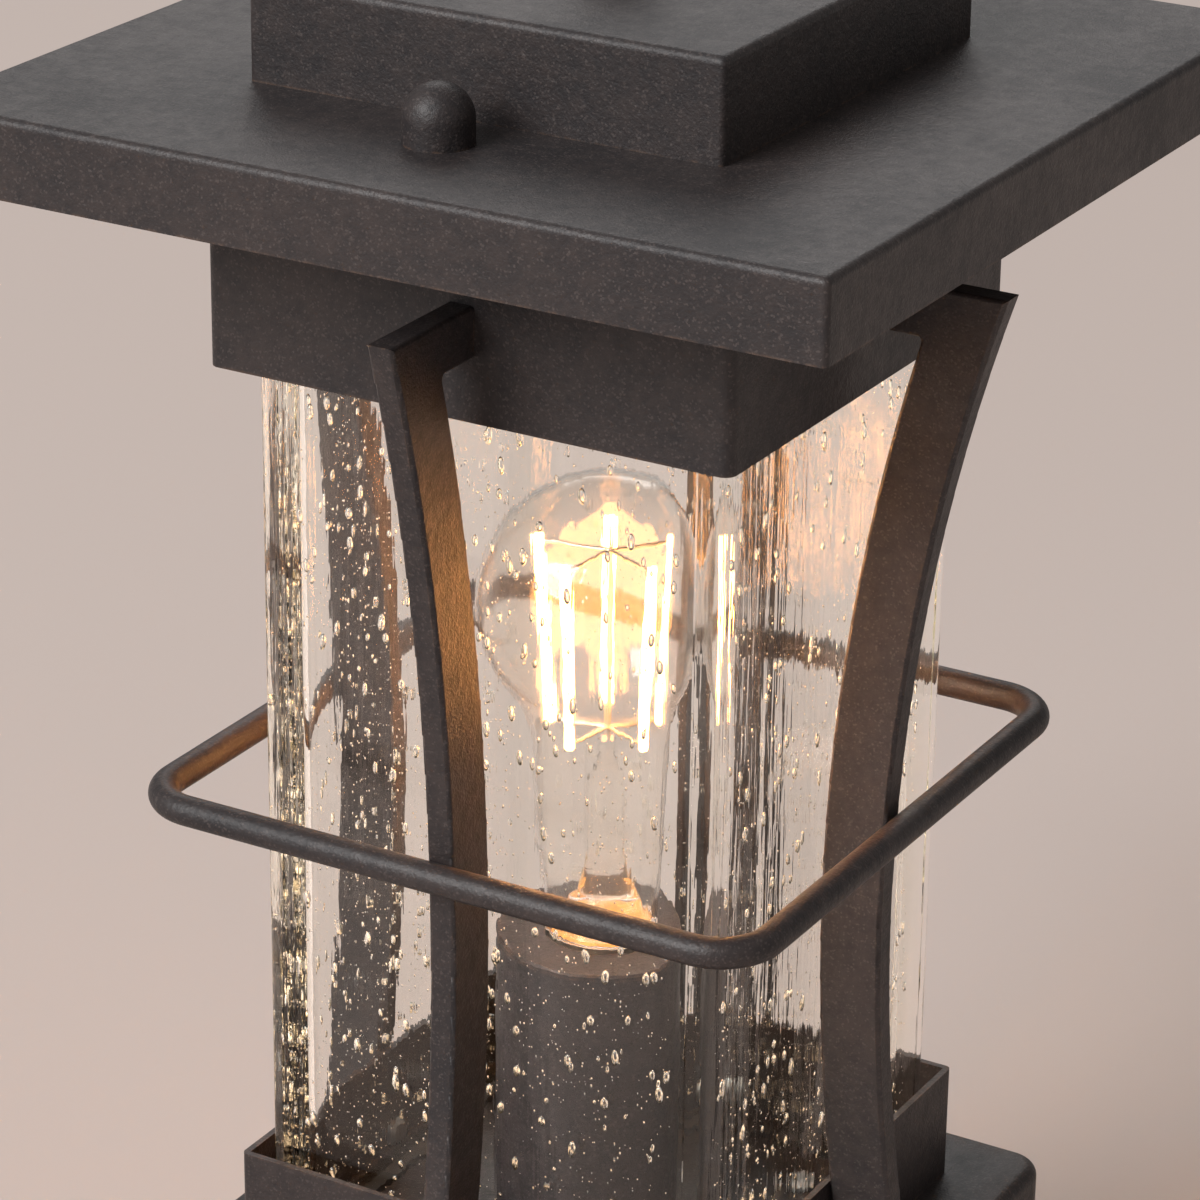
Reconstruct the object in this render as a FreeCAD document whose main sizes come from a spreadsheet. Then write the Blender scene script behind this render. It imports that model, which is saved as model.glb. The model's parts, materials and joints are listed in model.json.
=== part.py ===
import FreeCAD, Part
import Sketcher
import math
import os
import re

# Square post top lantern: a lift-off roof, a caged seeded glass shade, one lamp and a round post socket.
# Millimetres, +Z up. The origin is the centre of the socket's bottom rim, where the lantern stands.
# The front is -Y. Every size is a cell of the sheet, and every sub-part is bound to those cells.
# A size that follows from others is written as a formula.

Vector = FreeCAD.Vector
Rotation = FreeCAD.Rotation

doc = FreeCAD.newDocument("post_top_lantern")

# ---------------------------------------------------------------- driving dimensions
SIZES = {
    # roof
    "sheetWall": 1.5,          # folded sheet of the roof, tier, collar and tray
    "roofWidth": 210.0,
    "roofDepth": 17.6,
    "tierWidth": 112.2,
    "tierHeight": 22.3,
    "foldRound": 1.4,          # outer radius of a folded corner
    "rimRound": 1.8,           # outer radius of the roof's and tier's top edges
    "finialWidth": 20.0,
    "finialHeight": 24.0,
    "finialKnob": 15.6,        # diameter of the knob above the foot
    "finialStud": 6.0,
    "finialNutHeight": 5.0,
    # cap nuts and what they screw on
    "studOut": 8.45,           # from the collar's outside to a stud
    "studPitch": "=collarWidth + 2 * studOut",
    "studSize": 5.0,
    "studHead": 8.4,
    "studHeadHeight": 2.6,
    "studReach": 7.5,          # above the roof plate
    "capNutWidth": 15.0,
    "capNutSkirt": 5.1,        # straight part below the dome
    "seatNutFlats": 8.0,
    "lugWall": 2.5,
    "lugWidth": 18.0,
    "lugDrop": 12.0,           # leg of the lug down inside the collar
    "lugEdge": 8.2,            # from the stud to the lug's outer end
    # cage
    "frameHeight": 282.0,      # base plate's top to roof plate's top
    "collarGap": 5.9,          # between glass and collar
    "collarWidth": "=glassWidth + 2 * (collarGap + sheetWall)",
    "collarRound": 2.8,        # outer radius of its upright folds
    "collarDrop": 44.4,        # below the roof's rim
    "collarRise": 9.6,         # above the roof's rim, inside the roof
    "armThick": 6.35,
    "armDepth": 15.0,
    "armBend": 485.0,          # radius of the arm's outer face
    "armGap": 0.3,             # from the arms to the glass at the waist, and to the tray's rim
    "armWaist": "=glassWidth / 2 + armGap + armDepth",  # outer face from the axis at the waist
    "waistLevel": 97.0,        # above the base plate
    "armTopDrop": 36.4,        # arm's top below the roof plate's top
    "tabHeight": 11.4,
    "armRound": 0.9,
    "armCrook": 1.0,           # inner radius between arm and tab
    "rodSize": 6.8,
    "ringLevel": 120.0,        # above the base plate
    "ringBend": 12.0,
    "weldGap": 0.05,
    "armScrewSize": 4.0,
    "armScrewLength": 10.0,
    "armScrewHead": 7.0,
    "armScrewHeadHeight": 2.2,
    # glass
    "glassWidth": 111.8,
    "glassWall": 4.0,
    "glassCorner": 2.8,        # outer radius of the upright corners
    "glassHollow": 11.0,       # inner radius of the same corners, where the glass is thick
    "glassDrop": 27.0,         # glass's top below the roof plate's top
    "glassHeight": "=frameHeight - sheetWall - gasketThick - glassDrop",
    "gasketThick": 1.5,
    "gasketBand": 8.0,
    "bumperWidth": 22.0,
    "bumperHeight": 9.0,
    "bumperGap": 0.3,
    # tray, base plate and post socket
    "trayWidth": "=2 * (armWaist + armBend - armGap"
                 " - sqrt((armBend + armDepth) ^ 2 - (waistLevel - trayHeight) ^ 2))",
    "trayHeight": 28.0,
    "plateWidth": 158.0,
    "plateDepth": 14.0,
    "plateWall": 2.5,
    "plateCorner": 8.0,
    "plateRound": 3.0,
    "socketDepth": 76.0,       # from the bottom rim up to the post stop
    "socketBore": 77.0,        # over a 3 in post, 76.2 mm
    "socketWall": 3.0,
    "socketBead": 1.5,         # how far the rim bead stands out
    "socketBeadHeight": 6.0,
    "postStop": 4.5,           # width of the inner ledge that the post meets
    "flangeReach": 12.5,
    "flangeThick": 3.0,
    "boltOut": 6.0,            # from the socket's outside to the bolts' centres
    "boltCircle": "=socketBore + 2 * (socketWall + boltOut)",
    "boltSize": 4.0,
    "boltLength": 12.5,
    "boltHead": 7.6,
    "boltHeadHeight": 2.3,
    "boltNutFlats": 7.0,
    "boltNutHeight": 3.2,
    "screwLevel": 24.0,        # set screws above the bottom rim
    "setScrewSize": 6.0,
    "setScrewLength": 16.0,
    "setScrewHead": 10.0,
    "setScrewHeadHeight": 4.0,
    "setScrewOff": 0.3,        # from the backed-off tip to the bore
    "bossSize": 14.0,
    "bossReach": 3.5,
    # lampholder
    "sleeveAir": 4.6,          # between lampholder and sleeve
    "sleeveSize": "=holderSize + 2 * (sleeveAir + sleeveWall)",
    "sleeveHeight": 76.0,
    "sleeveWall": 1.2,
    "coverThick": 1.2,         # disc on the sleeve's top, round the lamp cap
    "coverSkirt": 4.0,
    "coverGap": 0.3,           # round the lamp cap's flare
    "nippleSize": 10.0,
    "nippleBore": 7.0,
    "nippleTop": 22.5,         # above the base plate's top
    "nippleNutFlats": 14.0,
    "nippleNutHeight": 4.0,
    "strapLevel": 20.0,        # above the base plate's top
    "strapWall": 1.5,
    "strapLength": 34.0,
    "strapWidth": 13.0,
    "strapRound": 2.0,
    "holderWall": 5.1,
    "holderSize": "=holderBore + 2 * holderWall",
    "holderHeight": 52.5,
    "holderDip": 1.5,          # depth of the waist round it
    "holderWaist": "=holderSize - 2 * holderDip",
    "holderGap": 0.35,         # round the screw shell
    "holderBore": "=capSize + 2 * (capFit + shellWall + holderGap)",
    "holderBoreDepth": 28.0,
    "holderScrewPitch": 24.0,
    "holderScrewSize": 3.5,
    "holderScrewHead": 6.0,
    "holderScrewHeadHeight": 2.0,
    "holderScrewLength": 9.0,
    "shellWall": 0.45,
    # lamp
    "capSize": 26.0,
    "capFit": 0.1,             # running clearance between lamp cap and screw shell, on the radius
    "capHeight": 26.5,
    "capWall": 0.4,
    "capFlare": 0.7,           # how far the cap's rim stands out
    "cementDepth": 5.0,
    "lampLift": 3.0,           # lamp glass above the lampholder's rim
    "bulbSize": 60.0,
    "bulbNeck": 34.0,
    "bulbFlank": 28.0,         # radius of the hollow flank between globe and neck
    "bulbWall": 0.9,
    "globeLevel": 80.0,        # globe's centre above the lamp cap
    "stemSize": 8.4,
    "stemInset": 1.4,          # from the lamp cap's outside to the stem's foot
    "filamentLength": 45.0,
    "filamentFoot": 31.0,      # below the globe's centre
    "filamentSize": 2.6,
    "filamentSpread": 27.4,    # diameter of the circle that the filaments stand on
    "filamentLean": 4.0,       # degrees outwards
    "filamentTurn": -24.3,     # degrees round the axis to one of the five
    "wireSize": 1.0,
    # fits
    "holeClearance": 0.2,      # on the radius, round screws and studs
    "threadGap": 0.05,         # on the radius, between a thread and its nut
}

sheet = doc.addObject("Spreadsheet::Sheet", "sizes")
for row, alias in enumerate(SIZES, start=1):
    sheet.set(f"A{row}", alias)
    sheet.setAlias(f"B{row}", alias)
for row, size in enumerate(SIZES.values(), start=1):
    sheet.set(f"B{row}", str(size))
doc.recompute()

ALIAS = re.compile(r"\b(" + "|".join(SIZES) + r")\b")

# Levels and half widths that several pieces share
plateTop = "(socketDepth + plateDepth)"
roofTop = f"({plateTop} + frameHeight)"
roofRim = f"({roofTop} - roofDepth)"
panInside = f"({roofTop} - sheetWall)"
collarTop = f"({roofRim} + collarRise)"
collarBottom = f"({roofRim} - collarDrop)"
lugTop = f"({collarTop} + lugWall)"
trayFloor = f"({plateTop} + sheetWall)"
glassBottom = f"({trayFloor} + gasketThick)"
armTop = f"({roofTop} - armTopDrop)"
topScrewLevel = f"({armTop} - tabHeight / 2)"
footScrewLevel = f"({plateTop} + tabHeight / 2)"
waist = f"({plateTop} + waistLevel)"
armCentre = "(armWaist + armBend)"
ringAt = f"({plateTop} + ringLevel)"
strapTop = f"({plateTop} + strapLevel + strapWall)"
holderRim = f"({strapTop} + holderHeight)"
holderFloor = f"({holderRim} - holderBoreDepth)"
capTop = f"({holderRim} + lampLift)"
globeAt = f"({capTop} + globeLevel)"
flangeTop = f"({plateTop} - plateWall)"
flangeUnder = f"({flangeTop} - flangeThick)"


# ---------------------------------------------------------------- ways of making a piece
def bind(expression):
    """Turns plain size names into references to the sheet's cells."""
    return ALIAS.sub(r"sizes.\1", expression)


def value(expression):
    return float(sheet.evalExpression(bind(expression)))


def drive(item, prop, expression):
    item.setExpression(prop, bind(expression))


def newPart(label):
    body = doc.addObject("PartDesign::Body", label)
    body.Label = label
    body.AllowCompound = True
    return body


def origin(body, role):
    return next(item for item in body.Origin.OriginFeatures if item.Role == role)


def newSketch(body, plane, rise="0", shift="0", lean=None):
    """A sketch on an origin plane, moved along the plane's normal by rise and along its x by shift."""
    sketch = body.newObject("Sketcher::SketchObject", f"{body.Name}_sketch")
    sketch.AttachmentSupport = [(origin(body, plane), "")]
    sketch.MapMode = "FlatFace"
    drive(sketch, "AttachmentOffset.Base.z", rise)
    drive(sketch, "AttachmentOffset.Base.x", shift)
    if lean:
        drive(sketch, "AttachmentOffset.Rotation.Angle", lean)
    return sketch


def pin(sketch, edge, end, across, up):
    """Holds one end of an edge at a place written in the sheet's sizes."""
    for kind, axis, expression in (("DistanceX", -2, across), ("DistanceY", -1, up)):
        if abs(value(expression)) < 1e-9:
            sketch.addConstraint(Sketcher.Constraint("PointOnObject", edge, end, axis))
            continue
        held = Sketcher.Constraint(kind, -1, 1, edge, end, value(expression))
        index = sketch.addConstraint(held)
        drive(sketch, f"Constraints[{index}]", expression)


def arcBetween(start, end, radius):
    """The short arc from start to end; a positive radius runs anticlockwise."""
    chord = end - start
    middle = start + chord / 2
    side = Vector(-chord.y, chord.x, 0).normalize()
    rise = math.sqrt(radius ** 2 - (chord.Length / 2) ** 2)
    centre = middle + side * math.copysign(rise, radius)
    first, last = (start, end) if radius > 0 else (end, start)
    angles = [math.atan2(point.y - centre.y, point.x - centre.x) for point in (first, last)]
    return Part.ArcOfCircle(Part.Circle(centre, Vector(0, 0, 1), abs(radius)), *angles)


def outline(sketch, corners):
    """A closed outline. A corner is (across, up), or (across, up, radius) where an arc follows it."""
    places = [Vector(value(corner[0]), value(corner[1]), 0) for corner in corners]
    starts, ends = [], []
    for index, corner in enumerate(corners):
        here, there = places[index], places[(index + 1) % len(corners)]
        turn = value(corner[2]) if len(corner) > 2 else 0
        edge = arcBetween(here, there, turn) if turn else Part.LineSegment(here, there)
        number = sketch.addGeometry(edge, False)
        starts.append((number, 2 if turn < 0 else 1))
        ends.append((number, 1 if turn < 0 else 2))
    for index, corner in enumerate(corners):
        follower = starts[(index + 1) % len(corners)]
        sketch.addConstraint(Sketcher.Constraint("Coincident", *ends[index], *follower))
        pin(sketch, *starts[index], corner[0], corner[1])
        if len(corner) > 2:
            size = Sketcher.Constraint("Radius", starts[index][0], abs(value(corner[2])))
            number = sketch.addConstraint(size)
            drive(sketch, f"Constraints[{number}]", f"abs({corner[2]})")
    return sketch


def box(sketch, width, depth=None):
    depth = depth or width
    return outline(sketch, [(f"-{width} / 2", f"-{depth} / 2"), (f"{width} / 2", f"-{depth} / 2"),
                            (f"{width} / 2", f"{depth} / 2"), (f"-{width} / 2", f"{depth} / 2")])


def circle(sketch, diameter, across="0", up="0"):
    centre = Vector(value(across), value(up), 0)
    number = sketch.addGeometry(Part.Circle(centre, Vector(0, 0, 1), value(diameter) / 2), False)
    pin(sketch, number, 3, across, up)
    size = Sketcher.Constraint("Radius", number, value(diameter) / 2)
    drive(sketch, f"Constraints[{sketch.addConstraint(size)}]", f"({diameter}) / 2")
    return sketch


def hexagon(sketch, flats, bore, across="0", up="0"):
    corner = f"({flats}) / sqrt(3)"
    places = [(f"{across} + {corner} * cos({60 * step}deg)", f"{up} + {corner} * sin({60 * step}deg)")
              for step in range(6)]
    return circle(outline(sketch, places), bore, across, up)


def extrude(body, kind, sketch, length, reverse=False, both=False):
    feature = body.newObject(f"PartDesign::{kind}", f"{body.Name}_{kind.lower()}")
    feature.Profile = sketch
    drive(feature, "Length", length)
    feature.Reversed = reverse
    feature.SideType = "Symmetric" if both else "One side"
    doc.recompute()
    return feature


def pad(body, sketch, length, **options):
    return extrude(body, "Pad", sketch, length, **options)


def pocket(body, sketch, length, **options):
    """A cut that has to take something away."""
    before = body.Shape.Volume
    feature = extrude(body, "Pocket", sketch, length, **options)
    if body.Shape.Volume > before - 1e-6:
        raise RuntimeError(f"{feature.Label} cuts nothing")
    return feature


def turn(body, sketch, axis="V_Axis"):
    feature = body.newObject("PartDesign::Revolution", f"{body.Name}_turned")
    feature.Profile = sketch
    feature.ReferenceAxis = (sketch, [axis])
    feature.Angle = 360
    doc.recompute()
    return feature


def around(body, features, count):
    """Repeats features round the lantern's axis."""
    pattern = body.newObject("PartDesign::PolarPattern", f"{body.Name}_pattern")
    pattern.Originals = features
    pattern.Axis = (origin(body, "Z_Axis"), [""])
    pattern.Angle = 360
    pattern.Occurrences = count
    body.Tip = pattern
    doc.recompute()
    return pattern


def edgesWhere(shape, test):
    """Names of the edges that pass the test."""
    return [f"Edge{number}" for number, edge in enumerate(shape.Edges, start=1) if test(edge)]


def ends(edge):
    return [vertex.Point for vertex in edge.Vertexes]


def isUpright(edge):
    tips = ends(edge)
    return len(tips) == 2 and (tips[0] - tips[1]).cross(Vector(0, 0, 1)).Length < 1e-6


def liesAt(level):
    return lambda edge: all(abs(tip.z - level) < 1e-6 for tip in ends(edge))


def cornerOf(width):
    """The upright edges at the corners of a square of this width."""
    half = value(width) / 2
    return lambda edge: isUpright(edge) and all(abs(abs(place) - half) < 1e-6 for place in ends(edge)[0][:2])


def soften(body, test, radius):
    """Rounds the edges of the body's last feature that pass the test."""
    base = body.Tip
    feature = body.newObject("PartDesign::Fillet", f"{body.Name}_round")
    feature.Base = (base, edgesWhere(base.Shape, test))
    drive(feature, "Radius", radius)
    doc.recompute()
    return feature


# ---------------------------------------------------------------- roof
def pan(label, width, rim, depth, holes):
    """A folded sheet pan, open below, with round holes (across, up, diameter) in its top."""
    body = newPart(label)
    pad(body, box(newSketch(body, "XY_Plane", rim), width), depth)
    soften(body, isUpright, "foldRound")
    soften(body, liesAt(value(f"{rim} + {depth}")), "rimRound")
    inside = box(newSketch(body, "XY_Plane", rim), f"({width} - 2 * sheetWall)")
    pocket(body, inside, f"{depth} - sheetWall", reverse=True)
    drilled = newSketch(body, "XY_Plane", f"{rim} + {depth}")
    for across, up, diameter in holes:
        circle(drilled, diameter, across, up)
    pocket(body, drilled, "2 * sheetWall")
    return body


def makeRoof():
    finialHole = ("0", "0", "finialStud + 2 * holeClearance")
    studHole = "studSize + 2 * holeClearance"
    studHoles = [("0", f"{side} * studPitch / 2", studHole) for side in (-1, 1)]
    pan("roof_plate", "roofWidth", roofRim, "roofDepth", [finialHole, *studHoles])
    pan("roof_tier", "tierWidth", roofTop, "tierHeight", [finialHole])


def makeFinial():
    body = newPart("finial")
    foot = f"({roofTop} + tierHeight)"
    knob = "finialKnob / 2"
    stud = "finialStud / 2"
    end = f"({panInside} - finialNutHeight - 1.5)"
    turn(body, outline(newSketch(body, "XZ_Plane"), [
        ("0", end), (stud, end), (stud, foot),
        ("finialWidth / 2", foot), ("finialWidth / 2", f"{foot} + 2.4"),
        (f"{knob} - 1.6", f"{foot} + 5.6"), (knob, f"{foot} + 8"),
        (knob, f"{foot} + finialHeight - {knob}", knob), ("0", f"{foot} + finialHeight"),
    ]))
    nut = newPart("finial_nut")
    shape = hexagon(newSketch(nut, "XY_Plane", panInside), "10", "finialStud + 2 * threadGap")
    pad(nut, shape, "finialNutHeight", reverse=True)


def makeCapNuts():
    """Two domed nuts with a blind hole over each stud."""
    hole = "(studSize / 2 + threadGap)"
    wide = "capNutWidth / 2"
    for label, side in (("cap_nut_front", -1), ("cap_nut_back", 1)):
        body = newPart(label)
        drive(body, "Placement.Base.y", f"{side} * studPitch / 2")
        turn(body, outline(newSketch(body, "XZ_Plane"), [
            (hole, roofTop), (wide, roofTop), (wide, f"{roofTop} + capNutSkirt", wide),
            ("0", f"{roofTop} + capNutSkirt + {wide}"), ("0", f"{roofTop} + studReach + 2"),
            (hole, f"{roofTop} + studReach + 0.5"),
        ]))


def makeStuds():
    """Two studs with flat heads under the collar's lugs."""
    body = newPart("roof_studs")
    shank = "studSize / 2"
    seat = f"({lugTop} - lugWall)"
    tip = f"({roofTop} + studReach)"
    head = "studHead / 2"
    under = f"({seat} - studHeadHeight)"
    stud = turn(body, outline(newSketch(body, "YZ_Plane", shift="studPitch / 2"), [
        ("0", under), (f"{head} - 0.6", under), (head, f"{under} + 0.6"), (head, seat),
        (shank, seat), (shank, f"{tip} - 0.6"), (f"{shank} - 0.6", tip), ("0", tip),
    ]))
    around(body, [stud], 2)
    nuts = newPart("roof_seat_nuts")
    sketch = newSketch(nuts, "XY_Plane", lugTop)
    hexagon(sketch, "seatNutFlats", "studSize + 2 * threadGap", "0", "studPitch / 2")
    around(nuts, [pad(nuts, sketch, f"{panInside} - {lugTop}")], 2)


def makeLugs():
    """Two angle lugs on the collar's top edge, which carry the studs."""
    body = newPart("stud_lugs")
    wall = "(collarWidth / 2 - sheetWall)"
    leg = f"({wall} - lugWall)"
    reach = "(studPitch / 2 + lugEdge)"
    lug = pad(body, outline(newSketch(body, "YZ_Plane"), [
        (leg, f"{collarTop} - lugDrop"), (wall, f"{collarTop} - lugDrop"), (wall, collarTop),
        (reach, collarTop), (reach, lugTop), (leg, lugTop),
    ]), "lugWidth", both=True)
    hole = circle(newSketch(body, "XY_Plane", lugTop), "studSize + 2 * holeClearance", "0", "studPitch / 2")
    around(body, [lug, pocket(body, hole, "2 * lugWall")], 2)


# ---------------------------------------------------------------- cage
def makeCollar():
    body = newPart("collar")
    height = f"{collarTop} - {collarBottom}"
    pad(body, box(newSketch(body, "XY_Plane", collarBottom), "collarWidth"), height)
    soften(body, isUpright, "collarRound")
    inside = "(collarWidth - 2 * sheetWall)"
    pocket(body, box(newSketch(body, "XY_Plane", collarBottom), inside), height, reverse=True)
    soften(body, cornerOf(inside), "collarRound - sheetWall")
    hole = circle(newSketch(body, "YZ_Plane"), "armScrewSize + 2 * holeClearance", "0", topScrewLevel)
    around(body, [pocket(body, hole, "collarWidth", reverse=True)], 4)


def armFace(level, depth="0"):
    """Distance from the axis to the arm's outer face, or to a face that lies deeper, at a level."""
    return f"({armCentre} - sqrt((armBend + {depth}) ^ 2 - ({level} - {waist}) ^ 2))"


def makeArms():
    """Four bowed flat bars, each with a tab to the collar and a tab to the tray."""
    underTab = f"({armTop} - tabHeight)"
    overTab = f"({plateTop} + tabHeight)"
    collarSide = "collarWidth / 2"
    traySide = "trayWidth / 2"
    inner = "-(armBend + armDepth)"
    half = value("armThick") / 2
    tabEnds = [value(collarSide), value(traySide)]

    def isCrook(edge):
        tips = ends(edge)
        level = [value(underTab), value(overTab)]
        alongY = len(tips) == 2 and abs(tips[0].y - tips[1].y) > half
        return alongY and any(abs(tips[0].z - z) < 1e-6 for z in level) and tips[0].x > max(tabEnds) + 1

    def isArris(edge):
        tips = ends(edge)
        onSide = all(abs(abs(tip.y) - half) < 1e-6 for tip in tips) and tips[0].y * tips[-1].y > 0
        atTabEnd = any(all(abs(tip.x - x) < 1e-6 for tip in tips) for x in tabEnds)
        return onSide and not atTabEnd

    for label, angle in (("arm_right", 0), ("arm_back", 90), ("arm_left", 180), ("arm_front", 270)):
        body = newPart(label)
        body.Placement = FreeCAD.Placement(Vector(0, 0, 0), Rotation(Vector(0, 0, 1), angle))
        pad(body, outline(newSketch(body, "XZ_Plane"), [
            (collarSide, armTop), (armFace(armTop), armTop, "armBend"),
            (armFace(plateTop), plateTop), (traySide, plateTop),
            (traySide, overTab), (armFace(overTab, "armDepth"), overTab, inner),
            (armFace(underTab, "armDepth"), underTab), (collarSide, underTab),
        ]), "armThick", both=True)
        soften(body, isCrook, "armCrook")
        soften(body, isArris, "armRound")
        for side, level in ((collarSide, topScrewLevel), (traySide, footScrewLevel)):
            hole = circle(newSketch(body, "YZ_Plane", side), "armScrewSize + 2 * threadGap", "0", level)
            pocket(body, hole, "armScrewLength", reverse=True)


def makeArmScrews():
    """Pan-head screws from inside the collar and the tray into the arms' tabs."""
    shank = "armScrewSize / 2"
    head = "armScrewHead / 2"
    for label, width, level in (("arm_screws_top", "collarWidth", topScrewLevel),
                                ("arm_screws_foot", "trayWidth", footScrewLevel)):
        body = newPart(label)
        seat = f"({width} / 2 - sheetWall)"
        tip = f"({seat} + armScrewLength)"
        top = f"({seat} - armScrewHeadHeight)"
        screw = turn(body, outline(newSketch(body, "XZ_Plane"), [
            (top, level), (top, f"{level} + {head} - 1.1"), (f"{top} + 1", f"{level} + {head}"),
            (seat, f"{level} + {head}"), (seat, f"{level} + {shank}"),
            (f"{tip} - 1", f"{level} + {shank}"), (tip, f"{level} + {shank} - 0.8"), (tip, level),
        ]), "Edge8")
        around(body, [screw], 4)


def makeRing():
    """A round rod bent to a square and welded to the arms' outer faces."""
    body = newPart("wire_ring")
    half = f"({armFace(ringAt)} + weldGap + rodSize / 2)"
    bend = f"({half} - ringBend)"
    path = newSketch(body, "XY_Plane", ringAt)
    outline(path, [
        (half, "0"), (half, bend, "ringBend"), (bend, half), (f"-{bend}", half, "ringBend"),
        (f"-{half}", bend), (f"-{half}", f"-{bend}", "ringBend"), (f"-{bend}", f"-{half}"),
        (bend, f"-{half}", "ringBend"), (half, f"-{bend}"),
    ])
    section = circle(newSketch(body, "XZ_Plane"), "rodSize", half, ringAt)
    doc.recompute()
    ring = body.newObject("PartDesign::AdditivePipe", "wire_ring_pipe")
    ring.Profile = section
    ring.Spine = (path, [f"Edge{number}" for number in range(1, 10)])
    doc.recompute()


# ---------------------------------------------------------------- glass
def makeGlass():
    body = newPart("glass_shade")
    pad(body, box(newSketch(body, "XY_Plane", glassBottom), "glassWidth"), "glassHeight")
    soften(body, isUpright, "glassCorner")
    bore = "(glassWidth - 2 * glassWall)"
    pocket(body, box(newSketch(body, "XY_Plane", glassBottom), bore), "glassHeight", reverse=True)
    soften(body, cornerOf(bore), "glassHollow")


def makeGlassRubbers():
    """The flat gasket under the glass and the four bumpers between its top and the collar."""
    body = newPart("glass_gasket")
    sketch = box(newSketch(body, "XY_Plane", trayFloor), "(glassWidth + 1)")
    pad(body, box(sketch, "(glassWidth + 1 - 2 * gasketBand)"), "gasketThick")
    bumpers = newPart("glass_bumpers")
    near = "(glassWidth / 2 + bumperGap)"
    far = "(collarWidth / 2 - sheetWall)"
    top = f"({glassBottom} + glassHeight - 1)"
    bumper = pad(bumpers, outline(newSketch(bumpers, "XZ_Plane"), [
        (near, f"{top} - bumperHeight + 1.5"), (f"{near} + 1.5", f"{top} - bumperHeight"),
        (far, f"{top} - bumperHeight"), (far, top), (f"{near} + 1.5", top), (near, f"{top} - 1.5"),
    ]), "bumperWidth", both=True)
    around(bumpers, [bumper], 4)


# ---------------------------------------------------------------- tray, base plate and post socket
def boltHoles(body, level, depth):
    """Four bolt holes on the diagonals, and nothing else, cut down from a level."""
    sketch = newSketch(body, "XY_Plane", level)
    place = "boltCircle / 2 * cos(45deg)"
    for across, up in ((1, 1), (-1, 1), (-1, -1), (1, -1)):
        circle(sketch, "boltSize + 2 * holeClearance", f"{across} * {place}", f"{up} * {place}")
    pocket(body, sketch, depth)


def nippleHole(body, level, depth):
    pocket(body, circle(newSketch(body, "XY_Plane", level), "nippleSize + 2 * holeClearance"), depth)


def makeTray():
    body = newPart("tray")
    pad(body, box(newSketch(body, "XY_Plane", plateTop), "trayWidth"), "trayHeight")
    soften(body, isUpright, "foldRound")
    inside = box(newSketch(body, "XY_Plane", f"{plateTop} + trayHeight"), "(trayWidth - 2 * sheetWall)")
    pocket(body, inside, "trayHeight - sheetWall")
    nippleHole(body, trayFloor, "2 * sheetWall")
    boltHoles(body, trayFloor, "2 * sheetWall")
    hole = circle(newSketch(body, "YZ_Plane"), "armScrewSize + 2 * holeClearance", "0", footScrewLevel)
    around(body, [pocket(body, hole, "trayWidth", reverse=True)], 4)


def makeBasePlate():
    """A cast plate, hollow below, with rounded corners."""
    body = newPart("base_plate")
    pad(body, box(newSketch(body, "XY_Plane", "socketDepth"), "plateWidth"), "plateDepth")
    soften(body, isUpright, "plateCorner")
    soften(body, liesAt(value(plateTop)), "plateRound")
    inside = "(plateWidth - 2 * plateWall)"
    hollow = box(newSketch(body, "XY_Plane", "socketDepth"), inside)
    pocket(body, hollow, "plateDepth - plateWall", reverse=True)
    soften(body, cornerOf(inside), "plateCorner - plateWall")
    nippleHole(body, plateTop, "2 * plateWall")
    boltHoles(body, plateTop, "2 * plateWall")


def makePostSocket():
    """The round socket: a rim bead, an inner post stop, a bolted flange and three screw bosses."""
    body = newPart("post_socket")
    bore = "socketBore / 2"
    outer = "(socketBore / 2 + socketWall)"
    bead = f"({outer} + socketBead)"
    flange = f"({outer} + flangeReach)"
    turn(body, outline(newSketch(body, "XZ_Plane"), [
        (bore, "0"), (bead, "0"), (bead, "socketBeadHeight - 1"), (f"{bead} - 1", "socketBeadHeight"),
        (outer, "socketBeadHeight + 1"), (outer, flangeUnder), (flange, flangeUnder),
        (flange, flangeTop), (f"{bore} - postStop", flangeTop), (f"{bore} - postStop", "socketDepth"),
        (bore, "socketDepth"),
    ]))
    start = "(socketBore / 2 + socketWall / 2)"
    boss = pad(body, circle(newSketch(body, "YZ_Plane", start), "bossSize", "0", "screwLevel"),
               "socketWall / 2 + bossReach")
    tapped = "setScrewSize + 2 * threadGap"
    hole = circle(newSketch(body, "YZ_Plane", "socketBore / 2 - 2"), tapped, "0", "screwLevel")
    around(body, [boss, pocket(body, hole, "socketWall + bossReach + 4", reverse=True)], 3)
    boltHoles(body, flangeTop, "2 * flangeThick")


def makeSetScrews():
    """Three set screws, backed off so that their tips are just clear of the bore."""
    shank = "setScrewSize / 2"
    head = "setScrewHead / 2"
    tip = "(socketBore / 2 + setScrewOff)"
    seat = f"({tip} + setScrewLength - setScrewHeadHeight)"
    end = f"({tip} + setScrewLength)"
    for label, angle in (("set_screw_right", 0), ("set_screw_back", 120), ("set_screw_front", 240)):
        body = newPart(label)
        body.Placement = FreeCAD.Placement(Vector(0, 0, 0), Rotation(Vector(0, 0, 1), angle))
        turn(body, outline(newSketch(body, "XZ_Plane"), [
            (tip, "screwLevel"), (tip, f"screwLevel + {shank} - 1"), (f"{tip} + 1", f"screwLevel + {shank}"),
            (seat, f"screwLevel + {shank}"), (seat, f"screwLevel + {head}"),
            (f"{end} - 1.4", f"screwLevel + {head}"), (end, f"screwLevel + {head} - 1.6"),
            (end, "screwLevel"),
        ]), "Edge8")


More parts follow.
